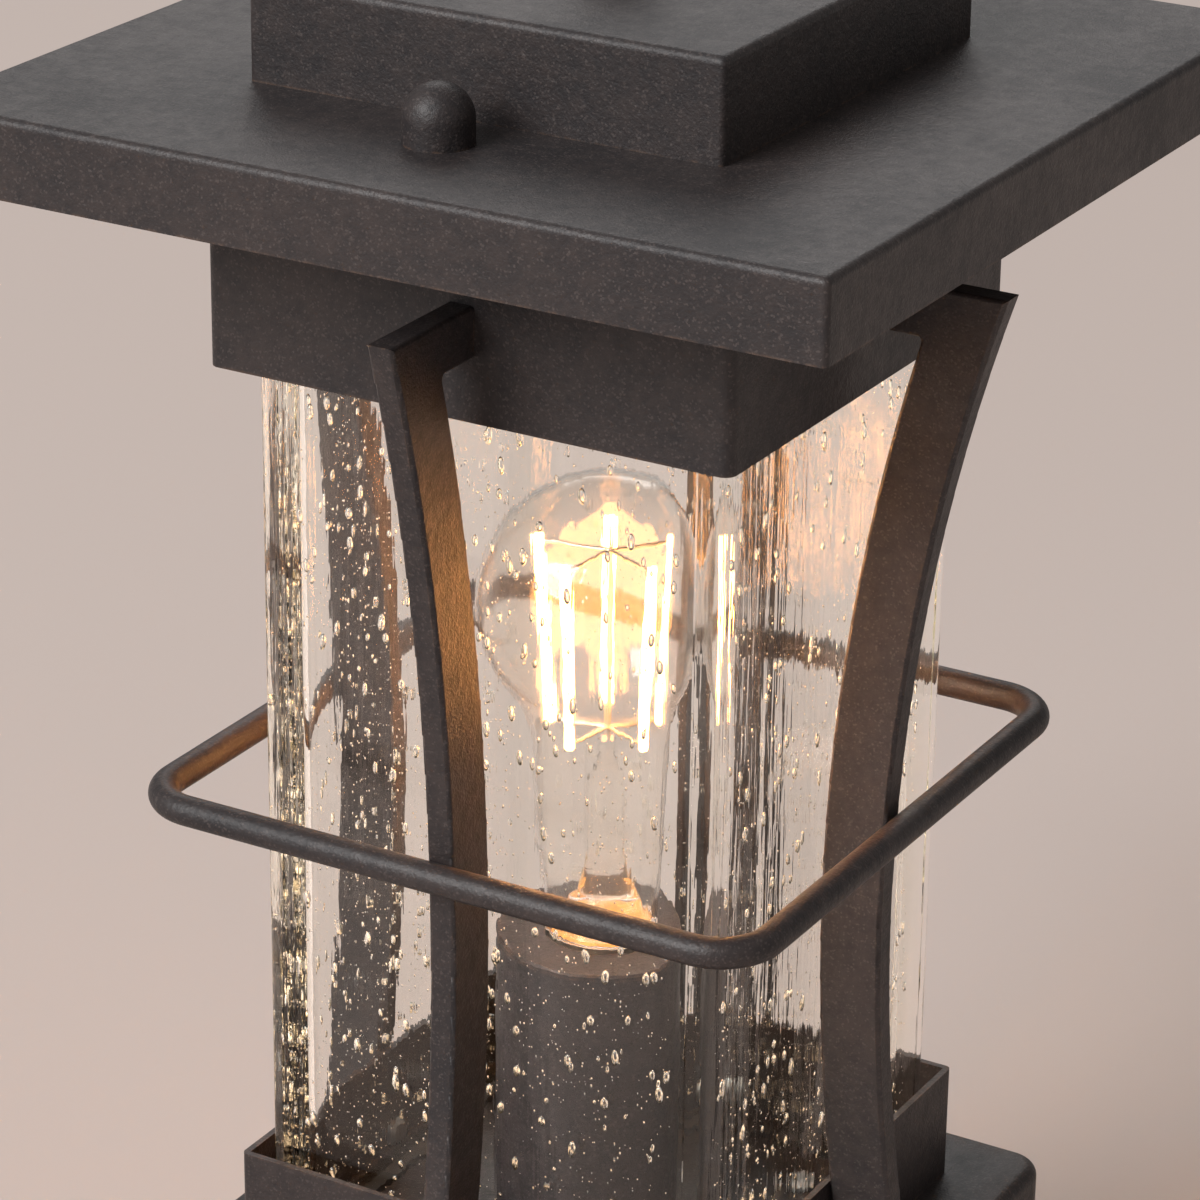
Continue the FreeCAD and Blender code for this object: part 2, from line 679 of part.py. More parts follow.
def makeBolts():
    """Four bolts through tray, base plate and socket flange, with their nuts."""
    body = newPart("base_bolts")
    body.Placement = FreeCAD.Placement(Vector(0, 0, 0), Rotation(Vector(0, 0, 1), 45))
    shank = "boltSize / 2"
    head = "boltHead / 2"
    tip = f"({trayFloor} - boltLength)"
    top = f"({trayFloor} + boltHeadHeight)"
    bolt = turn(body, outline(newSketch(body, "XZ_Plane", shift="boltCircle / 2"), [
        ("0", tip), (f"{shank} - 0.5", tip), (shank, f"{tip} + 0.5"), (shank, trayFloor),
        (head, trayFloor), (head, f"{top} - 1.1"), (f"{head} - 1.2", top), ("0", top),
    ]))
    around(body, [bolt], 4)
    nuts = newPart("base_bolt_nuts")
    nuts.Placement = FreeCAD.Placement(Vector(0, 0, 0), Rotation(Vector(0, 0, 1), 45))
    sketch = newSketch(nuts, "XY_Plane", flangeUnder)
    hexagon(sketch, "boltNutFlats", "boltSize + 2 * threadGap", "boltCircle / 2", "0")
    around(nuts, [pad(nuts, sketch, "boltNutHeight", reverse=True)], 4)


# ---------------------------------------------------------------- lampholder
def makeSleeve():
    """The tube round the lampholder, and the cover on its rim that closes it up to the lamp cap."""
    body = newPart("lampholder_sleeve")
    outer = "sleeveSize / 2"
    inner = "(sleeveSize / 2 - sleeveWall)"
    hole = "(nippleSize / 2 + holeClearance)"
    rim = f"({plateTop} + sleeveHeight - coverThick)"
    turn(body, outline(newSketch(body, "XZ_Plane"), [
        (hole, trayFloor), (outer, trayFloor), (outer, rim), (inner, rim),
        (inner, f"{trayFloor} + sleeveWall"), (hole, f"{trayFloor} + sleeveWall"),
    ]))
    cover = newPart("sleeve_cover")
    mouth = "(capSize / 2 + capFlare + coverGap)"
    skirt = f"({inner} - threadGap)"
    top = f"({rim} + coverThick)"
    turn(cover, outline(newSketch(cover, "XZ_Plane"), [
        (mouth, rim), (f"{skirt} - sleeveWall", rim), (f"{skirt} - sleeveWall", f"{rim} - coverSkirt"),
        (skirt, f"{rim} - coverSkirt"), (skirt, rim), (outer, rim), (outer, f"{top} - 0.5"),
        (f"{outer} - 0.5", top), (mouth, top),
    ]))


def makeNipple():
    """The threaded tube that carries the lampholder, and its three nuts."""
    body = newPart("nipple")
    tube = circle(newSketch(body, "XY_Plane", f"{plateTop} + nippleTop"), "nippleSize")
    end = f"({flangeTop} - nippleNutHeight - 1.5)"
    pad(body, circle(tube, "nippleBore"), f"{plateTop} + nippleTop - {end}", reverse=True)
    nuts = newPart("nipple_nuts")
    strapUnder = f"({strapTop} - strapWall)"
    for level, down in ((flangeTop, True), (f"{trayFloor} + sleeveWall", False), (strapUnder, True)):
        shape = hexagon(newSketch(nuts, "XY_Plane", level), "nippleNutFlats", "nippleSize + 2 * threadGap")
        pad(nuts, shape, "nippleNutHeight", reverse=down)


def makeStrap():
    body = newPart("lampholder_strap")
    sketch = box(newSketch(body, "XY_Plane", strapTop), "strapLength", "strapWidth")
    circle(sketch, "nippleSize + 2 * threadGap")
    for side in (-1, 1):
        circle(sketch, "holderScrewSize + 2 * holeClearance", f"{side} * holderScrewPitch / 2")
    pad(body, sketch, "strapWall", reverse=True)
    soften(body, isUpright, "strapRound")
    screws = newPart("lampholder_screws")
    shank = "holderScrewSize / 2"
    seat = f"({strapTop} - strapWall)"
    head = "holderScrewHead / 2"
    under = f"({seat} - holderScrewHeadHeight)"
    tip = f"({seat} + holderScrewLength)"
    screw = turn(screws, outline(newSketch(screws, "XZ_Plane", shift="holderScrewPitch / 2"), [
        ("0", under), (f"{head} - 0.8", under), (head, f"{under} + 1"), (head, seat),
        (shank, seat), (shank, f"{tip} - 1"), ("0", tip),
    ]))
    around(screws, [screw], 2)


def makeLampholder():
    """The ceramic body with its waist, screw holes, nipple recess and bore."""
    body = newPart("lampholder_body")
    rim = "holderSize / 2"
    waistOut = "holderWaist / 2"
    bore = "holderBore / 2"
    recess = "(nippleSize / 2 + 2)"
    recessTop = f"({plateTop} + nippleTop + 4)"
    turn(body, outline(newSketch(body, "XZ_Plane"), [
        (recess, strapTop), (rim, strapTop), (rim, f"{strapTop} + 6"), (waistOut, f"{strapTop} + 8"),
        (waistOut, f"{holderRim} - 10"), (rim, f"{holderRim} - 8"), (rim, f"{holderRim} - 1.5"),
        (f"{rim} - 1.5", holderRim), (f"{bore} + 1", holderRim), (bore, f"{holderRim} - 1"),
        (bore, holderFloor), ("2", holderFloor), ("2", recessTop), (recess, recessTop),
    ]))
    sketch = newSketch(body, "XY_Plane", strapTop)
    for side in (-1, 1):
        circle(sketch, "holderScrewSize + 2 * threadGap", f"{side} * holderScrewPitch / 2")
    pocket(body, sketch, "holderScrewLength", reverse=True)


def makeContacts():
    """The brass screw shell and the springy centre tongue."""
    shell = newPart("screw_shell")
    inner = "(capSize / 2 + capFit)"
    outer = f"({inner} + shellWall)"
    turn(shell, outline(newSketch(shell, "XZ_Plane"), [
        ("8", holderFloor), (outer, holderFloor), (outer, f"{holderRim} - 2.5"),
        (inner, f"{holderRim} - 2.5"), (inner, f"{holderFloor} + shellWall"),
        ("8", f"{holderFloor} + shellWall"),
    ]))
    tongue = newPart("centre_contact")
    tipLevel = f"({capTop} - capHeight - 0.2)"
    low = holderFloor
    pad(tongue, outline(newSketch(tongue, "XZ_Plane"), [
        ("-6.5", low), ("6.5", low), ("6.5", f"{low} + 0.5"), ("-3", f"{low} + 0.5"),
        ("2", f"{tipLevel} - 0.5"), ("5", f"{tipLevel} - 0.5"), ("5", tipLevel), ("1.6", tipLevel),
        ("-4", f"{low} + 1"), ("-6.5", f"{low} + 0.5"),
    ]), "5", both=True)


# ---------------------------------------------------------------- lamp
def makeLampCap():
    """The plain-walled screw cap, the cement in it, its insulator and its centre contact."""
    cap = newPart("bulb_cap")
    outer = "capSize / 2"
    inner = f"({outer} - capWall)"
    low = f"({capTop} - capHeight)"
    turn(cap, outline(newSketch(cap, "XZ_Plane"), [
        ("9.6", f"{low} + 3.4"), (outer, f"{low} + 6"), (outer, f"{capTop} - 1.5"),
        (f"{outer} + capFlare", capTop), (f"{outer} + capFlare - capWall", capTop),
        (inner, f"{capTop} - 1.5"),
        (inner, f"{low} + 6.2"), ("9.2", f"{low} + 3.7"),
    ]))
    cement = newPart("bulb_cement")
    turn(cement, outline(newSketch(cement, "XZ_Plane"), [
        ("0", f"{capTop} - cementDepth"), (f"{inner} - 0.1", f"{capTop} - cementDepth"),
        (f"{inner} - 0.1", capTop), ("0", capTop),
    ]))
    plug = newPart("bulb_insulator")
    turn(plug, outline(newSketch(plug, "XZ_Plane"), [
        ("0", f"{low} + 0.9"), ("4.6", f"{low} + 0.9"), ("9.1", f"{low} + 3.3"), ("9.1", f"{low} + 3.7"),
        (f"{inner} - 0.1", f"{low} + 6.4"), (f"{inner} - 0.1", f"{low} + 8"), ("0", f"{low} + 8"),
    ]))
    tip = newPart("bulb_tip")
    turn(tip, outline(newSketch(tip, "XZ_Plane"), [
        ("0", low), ("3", low), ("4.5", f"{low} + 0.6"), ("4.5", f"{low} + 0.9"), ("0", f"{low} + 0.9"),
    ]))


def makeBulb():
    """A blown globe that runs by a hollow flank into a long neck, one wall thick all over."""
    body = newPart("bulb_glass")
    globe = "(bulbSize / 2)"
    flankAt = "(bulbNeck / 2 + bulbFlank)"
    fall = f"sqrt(({globe} + bulbFlank) ^ 2 - {flankAt} ^ 2)"
    neckAt = f"({globeAt} - {fall})"

    def kiss(radius):
        """Where a globe of this radius meets the flank."""
        share = f"{radius} / ({globe} + bulbFlank)"
        return f"{flankAt} * {share}", f"{globeAt} - {fall} * {share}"

    inside = f"({globe} - bulbWall)"
    outKiss, inKiss = kiss(globe), kiss(inside)
    neck, seat = "bulbNeck / 2", "capSize / 2"
    turn(body, outline(newSketch(body, "XZ_Plane"), [
        (seat, capTop), ("bulbNeck / 2 - 0.8", f"{neckAt} - 22"), (neck, neckAt, "-bulbFlank"),
        (*outKiss, globe), ("0", f"{globeAt} + {globe}"),
        ("0", f"{globeAt} + {inside}", f"-{inside}"), (*inKiss, "bulbFlank + bulbWall"),
        (f"{neck} - bulbWall", neckAt), (f"{neck} - 0.8 - bulbWall", f"{neckAt} - 22"),
        (f"{seat} - bulbWall", capTop),
    ]))


def makeBulbInside():
    """The glass stem, the wires that stand on it, and five leaning filaments."""
    stem = newPart("bulb_stem")
    thick = "stemSize / 2"
    foot = f"({globeAt} - filamentFoot)"
    top = f"({foot} - 2)"
    turn(stem, outline(newSketch(stem, "XZ_Plane"), [
        ("0", f"{capTop} + 0.5"), ("capSize / 2 - stemInset", f"{capTop} + 0.5"), ("6.5", f"{capTop} + 9"),
        (thick, f"{capTop} + 18"), (thick, f"{top} - 10"), ("2", f"{top} - 4"), ("2", top), ("0", top),
    ]))
    filaments = newPart("bulb_filaments")
    drive(filaments, "Placement.Rotation.Angle", "filamentTurn")
    circleAt = "filamentSpread / 2"
    thin = "filamentSize / 2"
    sketch = newSketch(filaments, "XZ_Plane", "0", circleAt, "-filamentLean")
    drive(sketch, "AttachmentOffset.Base.y", foot)
    stick = turn(filaments, outline(sketch, [
        ("0", "0"), (f"{thin} - 0.4", "0"), (thin, "0.4"), (thin, "filamentLength - 0.4"),
        (f"{thin} - 0.4", "filamentLength"), ("0", "filamentLength"),
    ]))
    around(filaments, [stick], 5)
    wires = newPart("bulb_wires")
    drive(wires, "Placement.Rotation.Angle", "filamentTurn")
    wire = "wireSize / 2"
    crown = f"({foot} + filamentLength - 1.5)"
    upper = f"({circleAt} + (filamentLength - 1.5) * tan(filamentLean * 1deg) - {thin} - 0.15)"
    post = turn(wires, outline(newSketch(wires, "XZ_Plane"), [
        ("0", top), (wire, top), (wire, f"{crown} + wireSize"), ("0", f"{crown} + wireSize"),
    ]))
    spokes = []
    for level, reach in ((f"({top} + 3)", f"({circleAt} - {thin} - 0.2)"), (crown, upper)):
        spoke = newSketch(wires, "XZ_Plane")
        spokes.append(turn(wires, outline(spoke, [
            (f"{wire} / 2", level), (f"{wire} / 2", f"{level} + {wire}"),
            (reach, f"{level} + {wire}"), (reach, level),
        ]), "Edge4"))
    around(wires, spokes, 5)


# ---------------------------------------------------------------- build, test and write
makeRoof()
makeFinial()
makeCapNuts()
makeStuds()
makeLugs()
makeCollar()
makeArms()
makeArmScrews()
makeRing()
makeGlass()
makeGlassRubbers()
makeTray()
makeBasePlate()
makePostSocket()
makeSetScrews()
makeBolts()
makeSleeve()
makeNipple()
makeStrap()
makeLampholder()
makeContacts()
makeLampCap()
makeBulb()
makeBulbInside()
doc.recompute()

for item in doc.Objects:
    if "Invalid" in item.State or "Error" in item.State:
        raise RuntimeError(f"{item.Label} failed: {item.State}")
pieces = [item for item in doc.Objects if item.TypeId == "PartDesign::Body"]
for piece in pieces:
    if piece.Shape.isNull() or not piece.Shape.isValid():
        raise RuntimeError(f"{piece.Label} has no valid shape")

os.makedirs("parts", exist_ok=True)
for piece in pieces:
    piece.Shape.exportStep(os.path.join("parts", piece.Label + ".step"))
    extent = piece.Shape.BoundBox
    print(f"{piece.Label:20s} {len(piece.Shape.Solids)} solids {piece.Shape.Volume:10.1f} mm3 "
          f"z {extent.ZMin:.1f} to {extent.ZMax:.1f}")
print(len(pieces), "pieces")
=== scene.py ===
import json
import math
import random

import bmesh
import bpy
from mathutils import Matrix, Vector


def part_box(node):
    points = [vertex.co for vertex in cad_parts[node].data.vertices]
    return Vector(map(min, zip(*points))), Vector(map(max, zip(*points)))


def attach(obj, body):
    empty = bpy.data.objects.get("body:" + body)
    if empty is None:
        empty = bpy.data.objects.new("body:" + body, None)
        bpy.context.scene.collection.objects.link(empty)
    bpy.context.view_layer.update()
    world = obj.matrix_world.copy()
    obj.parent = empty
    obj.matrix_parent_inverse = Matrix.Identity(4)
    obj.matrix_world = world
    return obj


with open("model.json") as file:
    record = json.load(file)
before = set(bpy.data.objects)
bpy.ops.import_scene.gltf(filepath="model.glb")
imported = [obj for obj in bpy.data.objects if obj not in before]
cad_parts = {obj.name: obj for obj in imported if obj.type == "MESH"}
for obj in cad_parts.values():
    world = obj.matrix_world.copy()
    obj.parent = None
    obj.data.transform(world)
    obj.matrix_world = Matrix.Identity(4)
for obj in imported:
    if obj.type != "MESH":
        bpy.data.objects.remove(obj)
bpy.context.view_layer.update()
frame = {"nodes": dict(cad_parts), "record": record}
nodes = frame["nodes"]
scene = bpy.context.scene
print("frame loaded:", len(nodes), "nodes")


def feed(tree, socket, value):
    if isinstance(value, bpy.types.NodeSocket):
        tree.links.new(value, socket)
    elif isinstance(value, (tuple, list)) and len(value) == 3 and socket.type == "RGBA":
        socket.default_value = (*value, 1)
    else:
        socket.default_value = value


def addNode(tree, kind, inputs=None, **settings):
    node = tree.nodes.new(kind)
    for name, value in settings.items():
        setattr(node, name, value)
    for name, value in (inputs or {}).items():
        feed(tree, node.inputs[name], value)
    return node


def mathNode(tree, operation, *values, clamp=False):
    return addNode(tree, "ShaderNodeMath", dict(enumerate(values)),
                   operation=operation, use_clamp=clamp).outputs[0]


def vectorNode(tree, operation, *values):
    return addNode(tree, "ShaderNodeVectorMath", dict(enumerate(values)), operation=operation).outputs


def blendColor(tree, factor, first, second):
    return addNode(tree, "ShaderNodeMix", {0: factor, 6: first, 7: second}, data_type="RGBA").outputs[2]


def ramp(tree, value, low, high):
    return addNode(tree, "ShaderNodeMapRange", {"Value": value, "From Min": low, "From Max": high},
                   clamp=True, interpolation_type="SMOOTHSTEP").outputs[0]


def noise(tree, place, scale, detail=2.0, roughness=0.5):
    return addNode(tree, "ShaderNodeTexNoise", {
        "Vector": place, "Scale": scale, "Detail": detail, "Roughness": roughness}).outputs["Fac"]


def relief(tree, height, depth, under=None):
    inputs = {"Height": height, "Distance": depth, "Strength": 1.0}
    if under is not None:
        inputs["Normal"] = under
    return addNode(tree, "ShaderNodeBump", inputs).outputs[0]


def showMix(tree, out, factor, first, second):
    mix = addNode(tree, "ShaderNodeMixShader", {0: factor, 1: first.outputs[0], 2: second.outputs[0]})
    tree.links.new(mix.outputs[0], out.inputs["Surface"])


def makeGroup(name, inputs, outputs):
    group = bpy.data.node_groups.new(name, "ShaderNodeTree")
    for label, kind, start in inputs:
        socket = group.interface.new_socket(label, in_out="INPUT", socket_type=f"NodeSocket{kind}")
        if start is not None:
            socket.default_value = start
    for label, kind in outputs:
        group.interface.new_socket(label, in_out="OUTPUT", socket_type=f"NodeSocket{kind}")
    return group, group.nodes.new("NodeGroupInput").outputs, group.nodes.new("NodeGroupOutput").inputs


def newMaterial(name):
    material = bpy.data.materials.new(name)
    material.use_nodes = True
    tree = material.node_tree
    tree.nodes.clear()
    shader = addNode(tree, "ShaderNodeBsdfPrincipled")
    out = addNode(tree, "ShaderNodeOutputMaterial")
    tree.links.new(shader.outputs[0], out.inputs["Surface"])
    place = addNode(tree, "ShaderNodeTexCoord").outputs["Object"]
    return material, tree, shader, out, place


def setShader(shader, **values):
    for name, value in values.items():
        feed(shader.id_data, shader.inputs[name.replace("_", " ")], value)


# sandy texture of a powder coat: two sizes of cloud, single pale grains and their relief; the pale grains
# are partly the coat's flecks and partly painted sparkle, tiny highlights put into its colour
def makeCoatGrain():
    group, given, out = makeGroup(
        "coatGrain",
        (("Place", "Vector", None), ("Grain", "Float", 2400.0), ("Depth", "Float", 0.00006)),
        (("Mottle", "Float"), ("SpeckAndPaintedSparkle", "Float"), ("Normal", "Vector")))
    place, grain = given["Place"], given["Grain"]
    broad = noise(group, place, 16.0, 3.0, 0.6)
    close = noise(group, place, 260.0, 4.0, 0.75)
    mottle = mathNode(group, "MULTIPLY", mathNode(group, "ADD", broad, close), 0.5)
    group.links.new(ramp(group, mottle, 0.36, 0.66), out["Mottle"])
    # pale grains: partly the coat's flecks, partly a painted sparkle of tiny highlights
    cells = addNode(group, "ShaderNodeTexVoronoi", {"Vector": place, "Scale": grain})
    pick = addNode(group, "ShaderNodeSeparateColor", {"Color": cells.outputs["Color"]}).outputs[0]
    group.links.new(ramp(group, pick, 0.84, 0.98), out["SpeckAndPaintedSparkle"])
    fine = noise(group, place, mathNode(group, "MULTIPLY", grain, 0.7), 2.0, 0.6)
    coarse = noise(group, place, 520.0, 2.0, 0.5)
    height = mathNode(group, "ADD", fine, mathNode(group, "MULTIPLY", coarse, 1.2))
    group.links.new(relief(group, height, given["Depth"]), out["Normal"])
    return group


# paint rubbed thin along the edges
def makeEdgeRub():
    group, given, out = makeGroup(
        "edgeRub",
        (("Place", "Vector", None), ("Width", "Float", 0.0012), ("Amount", "Float", 0.5)),
        (("Mask", "Float"),))
    soft = addNode(group, "ShaderNodeBevel", {"Radius": given["Width"]}, samples=4).outputs[0]
    true = addNode(group, "ShaderNodeNewGeometry").outputs["Normal"]
    bend = mathNode(group, "SUBTRACT", 1.0, vectorNode(group, "DOT_PRODUCT", soft, true)["Value"])
    torn = ramp(group, noise(group, given["Place"], 260.0, 4.0, 0.7), 0.42, 0.62)
    rubbed = mathNode(group, "MULTIPLY", ramp(group, bend, 0.01, 0.14), torn)
    group.links.new(mathNode(group, "MULTIPLY", rubbed, given["Amount"], clamp=True), out["Mask"])
    return group


coatGrain = makeCoatGrain()
edgeRub = makeEdgeRub()

bronzeCoat = {
    "dark": (0.019, 0.0162, 0.0175),
    "brown": (0.041, 0.0315, 0.0300),
    # pale grains: partly the coat's flecks, partly a painted sparkle of tiny highlights
    "speckAndPaintedSparkle": (0.105, 0.084, 0.078),
    "speckAndPaintedSparkleAmount": 0.40,
    "rub": (0.150, 0.085, 0.052),
    "roughness": 0.52,
    "polish": -0.10,        # added to it on the brown clouds
    "gloss": 0.40,
    "grain": 2300.0,        # per metre
    "depth": 0.00013,
    "rubWidth": 0.0010,
    "rubAmount": 0.55,
}


def makeBronzeCoat():
    look = bronzeCoat
    material, tree, shader, _, place = newMaterial("bronzeCoat")
    grain = addNode(tree, "ShaderNodeGroup", {
        "Place": place, "Grain": look["grain"], "Depth": look["depth"]}, node_tree=coatGrain).outputs
    rub = addNode(tree, "ShaderNodeGroup", {
        "Place": place, "Width": look["rubWidth"], "Amount": look["rubAmount"]}, node_tree=edgeRub).outputs
    # pale grains put into the colour, partly flecks and partly painted sparkling highlights
    specksAndPaintedSparkle = mathNode(tree, "MULTIPLY", grain["SpeckAndPaintedSparkle"], look["speckAndPaintedSparkleAmount"])
    paint = blendColor(tree, grain["Mottle"], look["dark"], look["brown"])
    paint = blendColor(tree, specksAndPaintedSparkle, paint, look["speckAndPaintedSparkle"])
    polish = mathNode(tree, "MULTIPLY", grain["Mottle"], look["polish"])
    setShader(shader, Base_Color=blendColor(tree, rub["Mask"], paint, look["rub"]),
              Roughness=mathNode(tree, "ADD", look["roughness"], polish),
              Metallic=0.0, Specular_IOR_Level=look["gloss"], Normal=grain["Normal"])
    return material


shadeOfGlass = (0.93, 0.93, 0.92)     # what clear glass leaves of a lamp's light


# lamps shine through the glass, which shades nothing
def letLampsThrough(tree, shader, out):
    path = addNode(tree, "ShaderNodeLightPath")
    clear = addNode(tree, "ShaderNodeBsdfTransparent", {"Color": shadeOfGlass})
    showMix(tree, out, path.outputs["Is Shadow Ray"], shader, clear)


seededGlass = {
    "tint": (1.0, 1.0, 1.0),
    "roughness": 0.012,
    "ior": 1.12,
    "coat": 0.6,
    "coatIor": 1.5,
    "coatRoughness": 0.02,
    "drawLines": (95.0, 420.0),       # wide and narrow, per metre
    "drawStretch": 0.07,
    "drawDepth": 0.00034,
    "streaks": 2.6,                   # how much deeper they are on the right face
    "streaksFrom": (0.0515, 0.0520),  # x of that face
    "ripple": 150.0,
    "rippleDepth": 0.00012,
    "absorb": (0.88, 0.88, 0.76),
    "density": 30.0,
}


def makeSeededGlass():
    look = seededGlass
    material, tree, shader, out, place = newMaterial("seededGlass")
    drawn = addNode(tree, "ShaderNodeMapping", {
        "Vector": place, "Scale": (1, 1, look["drawStretch"])}).outputs[0]
    wide, narrow = look["drawLines"]
    narrow = mathNode(tree, "MULTIPLY", noise(tree, drawn, narrow, 2.0, 0.55), 0.30)
    height = mathNode(tree, "ADD", noise(tree, drawn, wide), narrow)
    across = addNode(tree, "ShaderNodeSeparateXYZ", {"Vector": place}).outputs["X"]
    right = ramp(tree, across, *look["streaksFrom"])
    deeper = mathNode(tree, "MULTIPLY_ADD", right, look["streaks"] - 1, 1.0)
    lines = relief(tree, mathNode(tree, "MULTIPLY", height, deeper), look["drawDepth"])
    waves = relief(tree, noise(tree, place, look["ripple"]), look["rippleDepth"], lines)
    setShader(shader, Base_Color=look["tint"], Roughness=look["roughness"], IOR=look["ior"],
              Transmission_Weight=1.0, Normal=waves, Coat_Weight=look["coat"], Coat_IOR=look["coatIor"],
              Coat_Roughness=look["coatRoughness"], Coat_Normal=waves)
    letLampsThrough(tree, shader, out)
    volume = addNode(tree, "ShaderNodeVolumeAbsorption", {
        "Color": look["absorb"], "Density": look["density"]})
    tree.links.new(volume.outputs[0], out.inputs["Volume"])
    return material


lampGlass = {
    "tint": (1.0, 0.99, 0.97),
    "roughness": 0.11,
    "ior": 1.14,
    "coat": 0.7,
    "coatIor": 1.5,
    "coatRoughness": 0.03,
    "swirl": 60.0,          # per metre
    "swirlDepth": 0.00006,
}
stemGlass = {**lampGlass, "roughness": 0.01, "ior": 1.08}


def makeLampGlass(name, look):
    material, tree, shader, out, place = newMaterial(name)
    setShader(shader, Base_Color=look["tint"], Roughness=look["roughness"], IOR=look["ior"],
              Transmission_Weight=1.0, Coat_Weight=look["coat"], Coat_IOR=look["coatIor"],
              Coat_Roughness=look["coatRoughness"],
              Normal=relief(tree, noise(tree, place, look["swirl"]), look["swirlDepth"]))
    letLampsThrough(tree, shader, out)
    return material


filament = {
    "color": (1.0, 0.78, 0.42),
    "glow": (1.0, 0.40, 0.11),
    "strength": 125.0,
}


def makeFilament():
    material, _, shader, _, _ = newMaterial("litFilament")
    setShader(shader, Base_Color=filament["color"], Roughness=0.5,
              Emission_Color=filament["glow"], Emission_Strength=filament["strength"])
    return material


plainLooks = {              # grain is per metre, and shift is how far the color swings
    "zinc_steel": {"name": "zincSteel", "color": (0.55, 0.56, 0.56), "roughness": 0.32, "metallic": 1.0},
    "seal_rubber": {"name": "sealRubber", "color": (0.03, 0.03, 0.03), "roughness": 0.75},
    "white_ceramic": {"name": "whiteCeramic", "color": (0.74, 0.66, 0.54), "roughness": 0.18},
    "brass": {"name": "brass", "color": (0.78, 0.56, 0.26), "roughness": 0.25, "metallic": 1.0},
    "lamp_cap": {"name": "lampCap", "color": (0.72, 0.62, 0.54), "roughness": 0.30, "metallic": 1.0},
    "lamp_cement": {"name": "lampCement", "color": (0.62, 0.36, 0.09), "roughness": 0.60,
                    "grain": 900.0, "depth": 0.00010, "shift": 0.25},
    "lamp_insulator": {"name": "lampInsulator", "color": (0.02, 0.02, 0.02), "roughness": 0.2},
    "lamp_wire": {"name": "lampWire", "color": (0.66, 0.63, 0.58), "roughness": 0.3, "metallic": 1.0},
}


def makePlain(name, color, roughness, metallic=0.0, grain=300.0, depth=0.00003, shift=0.15):
    material, tree, shader, _, place = newMaterial(name)
    spots = noise(tree, place, grain, 3.0, 0.6)
    dark = tuple(channel * (1 - shift) for channel in color)
    light = tuple(min(1, channel * (1 + shift)) for channel in color)
    setShader(shader, Base_Color=blendColor(tree, ramp(tree, spots, 0.35, 0.65), dark, light),
              Roughness=mathNode(tree, "ADD", roughness, mathNode(tree, "MULTIPLY", spots, 0.1)),
              Metallic=metallic, Normal=relief(tree, spots, depth))
    return material


finishes = {
    "bronze_coat": makeBronzeCoat(),
    "seeded_glass": makeSeededGlass(),
    "lamp_glass": makeLampGlass("lampGlass", lampGlass),
    "filament": makeFilament(),
}
for slot, look in plainLooks.items():
    finishes[slot] = makePlain(**look)
special = {"bulb_stem": makeLampGlass("stemGlass", stemGlass)}
slotOf = {part["node"]: part["material_slot"] for part in frame["record"]["subparts"]}
for name, node in nodes.items():
    finish = special.get(name, finishes[slotOf[name]])
    for index in range(len(node.material_slots)):
        node.material_slots[index].material = finish
print("finishes assigned:", len(finishes))


# bubbles and fine seed blown into the shade's wall
glassBubbles = {
    "name": "glass_bubbles",
    "perSide": 420,
    "width": (0.00028, 0.00092),     # half widths
    "lean": 1.2,                     # how much commoner the small ones are
    "stretch": (1.5, 2.8),
    "subdivisions": 2,
    "roughness": 0.05,
    # the glint of the lamp on these seeds is painted, as an emission
    "paintedGlintColor": (1.0, 0.68, 0.40),
    "paintedGlintStrength": 0.9,
    "paintedGlintBand": (-0.30, 0.20),       # part of the rim where the lamp's glint is painted
    "paintedGlintPatch": 900.0,
    "seed": 7,
}
glassGrains = {
    "name": "glass_grains",
    "perSide": 2400,
    "width": (0.00010, 0.00026),
    "lean": 1.5,
    "stretch": (1.2, 2.2),
    "subdivisions": 1,
    "roughness": 0.30,
    # the glint of the lamp on these seeds is painted, as an emission
    "paintedGlintColor": (1.0, 0.62, 0.34),
    "paintedGlintStrength": 0.62,
    "paintedGlintBand": (-0.40, 0.60),
    "paintedGlintPatch": 700.0,
    "seed": 11,
}
seedPlace = {
    "wall": 0.004,
    "skin": 0.0003,         # least glass over a seed
    "deepest": 0.0009,
    "flatness": 0.8,        # of its half width, through the wall
    "corner": 0.009,        # kept clear at the shade's corners
    "end": 0.004,           # and at its top and bottom
    "tilt": 0.12,
}
# where on the seeds the painted glint of the lamp is strong
paintedGlintAroundLamp = {
    "middle": (0.0, 0.0, 0.239),
    "reach": (0.22, 0.05),  # m: from no painted glint to full painted glint
    "least": 0.25,
    "soft": 0.12,           # how softly the painted glint's band ends
}
shadeLow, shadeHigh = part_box("glass_shade")


